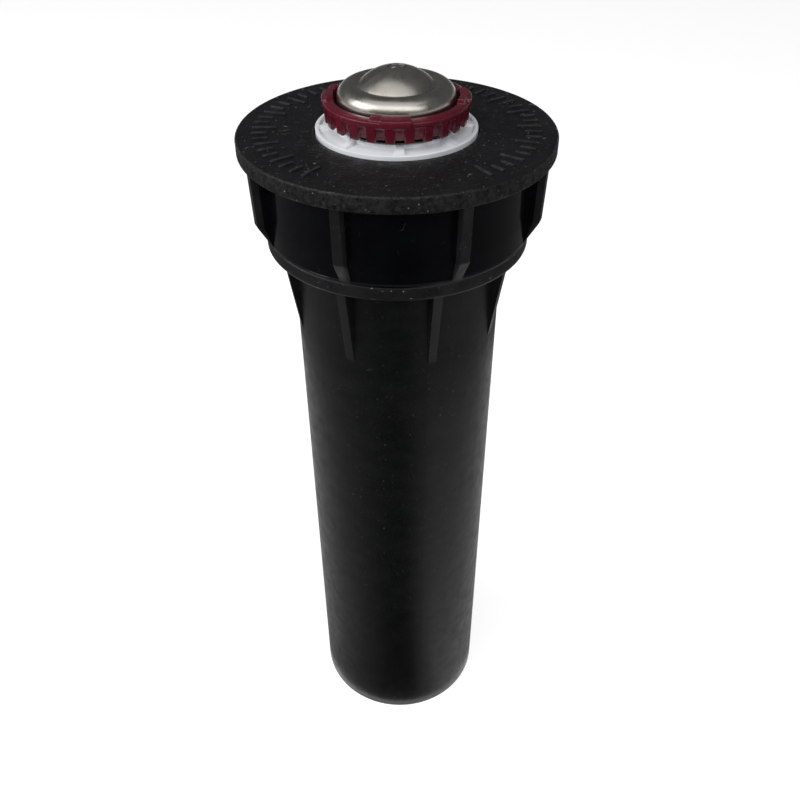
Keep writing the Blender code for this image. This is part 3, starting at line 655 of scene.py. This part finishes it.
def dress_hidden_nodes(finish):
    """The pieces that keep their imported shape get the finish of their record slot."""
    by_slot = {
        "black_abs": finish["riser"],
        "grey_acetal": finish["grey"],
        "spring_steel": finish["wire"],
        "black_rubber": finish["rubber"],
    }
    for part in frame["record"]["subparts"]:
        node = NODES[part["node"]]
        if node.hide_render:
            continue
        node.data.materials.clear()
        node.data.materials.append(by_slot[part["material_slot"]])


# ================================================================ studio
def add_light(name, place, target, size, power):
    data = bpy.data.lights.new(name, "AREA")
    data.shape = "RECTANGLE"
    data.size, data.size_y = size
    data.energy = power
    lamp = bpy.data.objects.new(name, data)
    bpy.context.scene.collection.objects.link(lamp)
    lamp.location = place
    lamp.rotation_euler = (Vector(target) - Vector(place)).to_track_quat("-Z", "Y").to_euler()


def make_floor():
    """A pale table, lit evenly from within like a product photographer's light table."""
    bm = bmesh.new()
    bmesh.ops.create_grid(bm, x_segments=1, y_segments=1, size=12.0)
    floor = shown("studio_floor", bm)
    floor.location.z = cad_low.z - 0.1 * MM
    surface = Surface("floor_paper", (0.50, 0.50, 0.50), 0.9, specular=0.0)
    surface.shader.inputs["Emission Color"].default_value = (1.0, 1.0, 1.0, 1.0)
    surface.shader.inputs["Emission Strength"].default_value = 0.80
    floor.data.materials.append(surface.material)


def make_flag(name, inner, outer, dark_until, pale_from, glow, right=0.0):
    """Part of a card that lies round the foot for the black plastic to mirror: black in front, and paler
    from one angle to another, both given as shares of a full turn away from the front.  The right half
    glows at least as much as the last value says, from a little way off the front."""
    half_angle, steps = math.radians(158.0), 32     # the card stays open behind the part
    bm = bmesh.new()
    rows = []
    for step in range(steps + 1):
        azimuth = -half_angle + 2 * half_angle * step / steps
        out = Vector((math.cos(azimuth), math.sin(azimuth), 0.0))
        rows.append([bm.verts.new(out * radius) for radius in (inner, outer)])
    for here, there in zip(rows, rows[1:]):
        bm.faces.new((here[0], here[1], there[1], there[0]))
    flag = shown(name, bm)
    flag.location.z = cad_low.z + 1.0 * MM
    flag.rotation_euler.z = math.radians(-90.0)
    flag.visible_camera = False
    flag.visible_diffuse = False
    flag.visible_shadow = False
    surface = Surface(name, (0.004, 0.004, 0.004), 0.9, specular=0.0)
    turn = surface.node("ShaderNodeTexGradient", gradient_type="RADIAL")
    surface.link(surface.place, turn.inputs["Vector"])
    aside = surface.math("ABSOLUTE", surface.math("SUBTRACT", turn.outputs["Fac"], 0.5), 0.0)
    surface.shader.inputs["Emission Color"].default_value = (1.0, 1.0, 1.0, 1.0)
    pale = surface.remap(aside, dark_until, pale_from, 0.0, glow)
    to_the_right = surface.remap(turn.outputs["Fac"], 0.53, 0.61, 0.0, right)
    strength = surface.math("MAXIMUM", pale, to_the_right)
    surface.link(strength, surface.shader.inputs["Emission Strength"])
    flag.data.materials.append(surface.material)


def make_world():
    """Dim, even room light, with a pale backdrop where the camera looks past the table."""
    world = bpy.data.worlds.new("studio_world")
    world.use_nodes = True
    tree = world.node_tree
    room = tree.nodes["Background"]
    room.inputs["Color"].default_value = (0.92, 0.96, 1.0, 1.0)
    room.inputs["Strength"].default_value = 0.10
    backdrop = tree.nodes.new("ShaderNodeBackground")
    backdrop.inputs["Color"].default_value = (0.86, 0.86, 0.86, 1.0)
    chooser = tree.nodes.new("ShaderNodeMixShader")
    seen = tree.nodes.new("ShaderNodeLightPath")
    tree.links.new(seen.outputs["Is Camera Ray"], chooser.inputs["Fac"])
    tree.links.new(room.outputs["Background"], chooser.inputs[1])
    tree.links.new(backdrop.outputs["Background"], chooser.inputs[2])
    tree.links.new(chooser.outputs["Shader"], tree.nodes["World Output"].inputs["Surface"])
    bpy.context.scene.world = world


def make_studio():
    make_floor()
    make_flag("studio_flag_near", 0.0203, 0.165, 0.03, 0.42, 0.62, right=0.42)
    make_flag("studio_flag_far", 0.165, 0.90, 0.0, 0.50, 0.15)
    make_world()
    focus = (0.0, 0.0, TOP)
    add_light("softbox_front", (-0.12, -0.52, 0.74), focus, (2.4, 0.46), 7.2)
    add_light("softbox_above", (-0.04, -0.12, 0.95), focus, (1.20, 0.50), 1.6)
    add_light("softbox_left", (-0.70, -0.15, 0.55), focus, (0.60, 0.50), 2.6)
    bpy.context.scene.view_settings.view_transform = "Standard"


def make_camera():
    """A close camera above the cap, looking down on the sprinkler."""
    data = bpy.data.cameras.new("camera")
    data.sensor_width = 36.0
    data.lens = 38.7
    data.shift_x = 0.0021
    data.clip_start = 0.01
    camera = bpy.data.objects.new("camera", data)
    bpy.context.scene.collection.objects.link(camera)
    camera.location = (0.0, -149.27 * MM, TOP + 56.73 * MM)
    down = math.radians(38.4)
    roll = math.radians(-0.34)
    tilt = Matrix.Rotation(math.radians(90.0) - down, 4, "X") @ Matrix.Rotation(roll, 4, "Z")
    camera.rotation_euler = tilt.to_euler()
    bpy.context.scene.camera = camera


def main():
    finish = make_finishes()
    make_camera()
    make_cap(finish)
    make_cap_marks(finish)
    make_casing(finish)
    make_retainer(finish)
    make_riser(finish)
    make_arc_ring(finish)
    make_dome(finish)
    make_shaft(finish)
    make_coil(
        "retraction_coil", "retract_spring", 16, 1.2 * MM, "casing", finish
    )
    make_coil("turret_coil", "turret_spring", 7, 0.5 * MM, "riser", finish)
    dress_hidden_nodes(finish)
    make_studio()


main()
